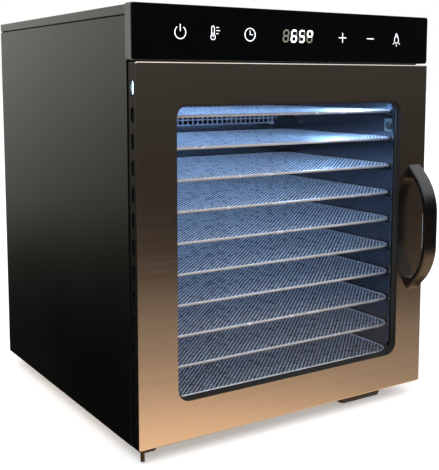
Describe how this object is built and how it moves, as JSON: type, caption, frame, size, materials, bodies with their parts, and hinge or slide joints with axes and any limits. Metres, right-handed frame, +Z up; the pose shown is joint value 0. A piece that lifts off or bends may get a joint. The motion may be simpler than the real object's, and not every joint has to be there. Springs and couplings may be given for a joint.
{
  "type": "food dehydrator",
  "caption": "Countertop food dehydrator: dark steel cabinet with a side-hinged glass door, wire mesh trays on ledges, touch panel above and a rear fan and heater.",
  "frame": {"origin": "on the table, under the middle of the outer box", "axes": "+X to the right of someone facing the door, +Y to the back, +Z up"},
  "size_m": [0.3546, 0.3824, 0.4155],
  "materials": {
    "dark_painted_steel": "satin",
    "roof_paint": "satin",
    "brushed_stainless": "fine horizontal brushing",
    "chamber_steel": "satin",
    "plated_steel": "zinc plated",
    "polished_wire": "electropolished",
    "mesh_steel": "woven wire",
    "black_glass": "polished",
    "clear_glass": "polished",
    "lamp_clear": "frosted",
    "grey_plastic": "fine texture",
    "black_plastic": "fine texture",
    "gloss_black_plastic": "polished",
    "black_rubber": "matt",
    "bush_plastic": "satin",
    "board_green": "satin",
    "motor_steel": "satin",
    "fan_aluminium": "satin",
    "heater_sheath": "dull"
  },
  "bodies": {
    "cabinet": {"roof_cover": "roof_paint", "left_side_panel": "dark_painted_steel", "right_side_panel": "dark_painted_steel", "rear_cover": "dark_painted_steel", "base_pan": "plated_steel", "front_frame": "chamber_steel", "feet": "black_rubber", "cabinet_screws": "plated_steel", "cord_gland": "black_plastic", "inner_left_wall": "chamber_steel", "inner_right_wall": "chamber_steel", "inner_ceiling": "chamber_steel", "inner_floor": "chamber_steel", "lamp_housing": "grey_plastic", "lamp_lens": "lamp_clear", "temperature_probe": "plated_steel", "fan_baffle": "chamber_steel", "fan_guard": "polished_wire", "heater_element": "heater_sheath", "heater_clips": "plated_steel", "fan_motor": "motor_steel", "motor_bracket": "plated_steel", "control_housing": "grey_plastic", "control_glass": "black_glass", "control_board": "board_green", "upper_hinge_bracket": "plated_steel", "lower_hinge_bracket": "plated_steel", "hinge_pins": "plated_steel", "magnet_catch": "black_plastic"},
    "door": {"hinge_bushes": "bush_plastic", "door_frame": "brushed_stainless", "glass_gasket": "black_rubber", "door_glass": "clear_glass", "door_inner_frame": "black_plastic", "strike_plate": "plated_steel", "handle": "gloss_black_plastic", "handle_screws": "plated_steel"},
    "fan": {"fan_impeller": "fan_aluminium", "motor_shaft": "plated_steel", "impeller_nut": "plated_steel"},
    "tray_01": {"tray_01_frame": "polished_wire", "tray_01_mesh": "mesh_steel"},
    "tray_02": {"tray_02_frame": "polished_wire", "tray_02_mesh": "mesh_steel"},
    "tray_03": {"tray_03_frame": "polished_wire", "tray_03_mesh": "mesh_steel"},
    "tray_04": {"tray_04_frame": "polished_wire", "tray_04_mesh": "mesh_steel"},
    "tray_05": {"tray_05_frame": "polished_wire", "tray_05_mesh": "mesh_steel"},
    "tray_06": {"tray_06_frame": "polished_wire", "tray_06_mesh": "mesh_steel"},
    "tray_07": {"tray_07_frame": "polished_wire", "tray_07_mesh": "mesh_steel"},
    "tray_08": {"tray_08_frame": "polished_wire", "tray_08_mesh": "mesh_steel"},
    "tray_09": {"tray_09_frame": "polished_wire", "tray_09_mesh": "mesh_steel"},
    "tray_10": {"tray_10_frame": "polished_wire", "tray_10_mesh": "mesh_steel"}
  },
  "joints": [
    {"name": "door_hinge", "type": "hinge", "parent": "cabinet", "child": "door", "pos_m": [-0.1683, -0.15725, 0.19], "axis": [0, 0, 1], "range_deg": [-110, 0]},
    {"name": "fan_spin", "type": "hinge", "parent": "cabinet", "child": "fan", "pos_m": [0, 0.10825, 0.187], "axis": [0, 1, 0], "continuous": true},
    {"name": "tray_01_slide", "type": "slide", "parent": "cabinet", "child": "tray_01", "axis": [0, -1, 0], "range_m": [0, 0.01]},
    {"name": "tray_02_slide", "type": "slide", "parent": "cabinet", "child": "tray_02", "axis": [0, -1, 0], "range_m": [0, 0.01]},
    {"name": "tray_03_slide", "type": "slide", "parent": "cabinet", "child": "tray_03", "axis": [0, -1, 0], "range_m": [0, 0.01]},
    {"name": "tray_04_slide", "type": "slide", "parent": "cabinet", "child": "tray_04", "axis": [0, -1, 0], "range_m": [0, 0.01]},
    {"name": "tray_05_slide", "type": "slide", "parent": "cabinet", "child": "tray_05", "axis": [0, -1, 0], "range_m": [0, 0.01]},
    {"name": "tray_06_slide", "type": "slide", "parent": "cabinet", "child": "tray_06", "axis": [0, -1, 0], "range_m": [0, 0.01]},
    {"name": "tray_07_slide", "type": "slide", "parent": "cabinet", "child": "tray_07", "axis": [0, -1, 0], "range_m": [0, 0.01]},
    {"name": "tray_08_slide", "type": "slide", "parent": "cabinet", "child": "tray_08", "axis": [0, -1, 0], "range_m": [0, 0.01]},
    {"name": "tray_09_slide", "type": "slide", "parent": "cabinet", "child": "tray_09", "axis": [0, -1, 0], "range_m": [0, 0.01]},
    {"name": "tray_10_slide", "type": "slide", "parent": "cabinet", "child": "tray_10", "axis": [0, -1, 0], "range_m": [0, 0.01]}
  ]
}
